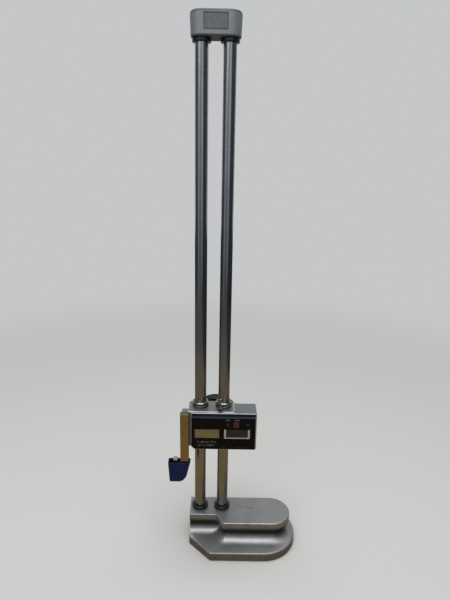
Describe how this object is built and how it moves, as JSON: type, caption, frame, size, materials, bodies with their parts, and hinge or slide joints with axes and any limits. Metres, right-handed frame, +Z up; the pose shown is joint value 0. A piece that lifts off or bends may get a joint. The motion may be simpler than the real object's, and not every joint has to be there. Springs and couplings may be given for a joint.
{
  "type": "height gauge",
  "caption": "Bench height gauge: heavy base, twin steel columns, rack-driven digital head, rear hand wheel, scriber arm with a slip-on guard.",
  "frame": {"origin": "on the base's ground underside, midway between the two columns' axes", "axes": "+Z up along the columns, +X along the base to its rounded end, -Y towards the display's face"},
  "size_m": [0.2038, 0.109, 0.7775],
  "materials": {
    "cast_iron_satin": "satin machined and lacquered casting",
    "ground_steel": "ground and polished",
    "rack_steel": "milled",
    "black_steel": "blackened",
    "rubber_black": "moulded",
    "slider_grey": "satin anodised",
    "collar_dark": "dark turned steel",
    "polished_steel": "polished",
    "bronze": "turned bronze",
    "wheel_black": "ridged moulding",
    "housing_grey": "satin cast",
    "fascia_black": "printed panel",
    "window_clear": "clear window",
    "frame_pale": "pale moulding",
    "display_khaki": "reflective display",
    "display_brown": "dark cell",
    "board_green": "circuit board",
    "part_black": "moulded",
    "key_red": "pad",
    "key_dark": "pad",
    "cell_steel": "bright can",
    "guard_navy": "dipped vinyl"
  },
  "bodies": {
    "stand": {"base_casting": "cast_iron_satin", "column_bolts": "black_steel", "left_column": "ground_steel", "right_column": "ground_steel", "column_rack": "rack_steel", "lower_bumpers": "rubber_black", "upper_bumpers": "rubber_black", "top_cap": "cast_iron_satin", "cap_grub_screws": "black_steel"},
    "head": {"slider_casting": "slider_grey", "column_bushes": "bronze", "left_collar": "collar_dark", "clamp_collar": "collar_dark", "collar_rings": "polished_steel", "pinion_bearing": "polished_steel", "bearing_screws": "black_steel", "display_housing": "housing_grey", "fascia": "fascia_black", "left_window": "window_clear", "right_window": "window_clear", "window_frame": "frame_pale", "left_display": "display_khaki", "right_display": "display_brown", "circuit_board": "board_green", "read_head": "part_black", "board_switches": "part_black", "battery": "cell_steel", "measuring_arm": "ground_steel", "arm_screws": "black_steel", "scriber": "ground_steel", "scriber_clamp": "polished_steel"},
    "wheel": {"pinion_shaft": "rack_steel", "encoder_disc": "part_black", "hand_wheel": "wheel_black", "wheel_screw": "polished_steel"},
    "lock": {"lock_stud": "polished_steel", "lock_lever": "polished_steel"},
    "zero_key": {"zero_button": "key_dark"},
    "preset_key": {"preset_button": "key_red"},
    "unit_key": {"unit_button": "key_dark"},
    "cell_cover": {"battery_cover": "housing_grey"},
    "clamp_thumb": {"thumb_screw": "polished_steel"},
    "guard": {"scriber_guard": "guard_navy"}
  },
  "joints": [
    {"name": "head_slide", "type": "slide", "parent": "stand", "child": "head", "axis": [0, 0, 1], "range_m": [-0.1172, 0.4985]},
    {"name": "wheel_turn", "type": "hinge", "parent": "head", "child": "wheel", "pos_m": [0.00559, 0.03, 0.199], "axis": [0, 1, 0], "range_deg": [-1402, 5953]},
    {"name": "lock_turn", "type": "hinge", "parent": "head", "child": "lock", "pos_m": [0.01314, -0.02002, 0.2399], "axis": [-0.2359, -0.9718, 0], "range_deg": [-55, 25]},
    {"name": "zero_press", "type": "slide", "parent": "head", "child": "zero_key", "axis": [0, 1, 0], "range_m": [0, 0.00035], "stiffness_N_per_m": 900},
    {"name": "preset_press", "type": "slide", "parent": "head", "child": "preset_key", "axis": [0, 1, 0], "range_m": [0, 0.00035], "stiffness_N_per_m": 900},
    {"name": "unit_press", "type": "slide", "parent": "head", "child": "unit_key", "axis": [0, 1, 0], "range_m": [0, 0.00035], "stiffness_N_per_m": 900},
    {"name": "cell_cover_turn", "type": "hinge", "parent": "head", "child": "cell_cover", "pos_m": [0.0513, 0.0065, 0.2005], "axis": [0, 1, 0], "range_deg": [0, 60]},
    {"name": "thumb_turn", "type": "hinge", "parent": "head", "child": "clamp_thumb", "pos_m": [-0.0545, -0.031, 0.156], "axis": [0, 0, 1], "range_deg": [0, 720]},
    {"name": "guard_pull", "type": "slide", "parent": "head", "child": "guard", "axis": [0, 0, -1], "range_m": [0, 0.045]}
  ],
  "couplings": [
    {"joint": "wheel_turn", "follows": "head_slide", "rad_per_m": 208.33}
  ]
}
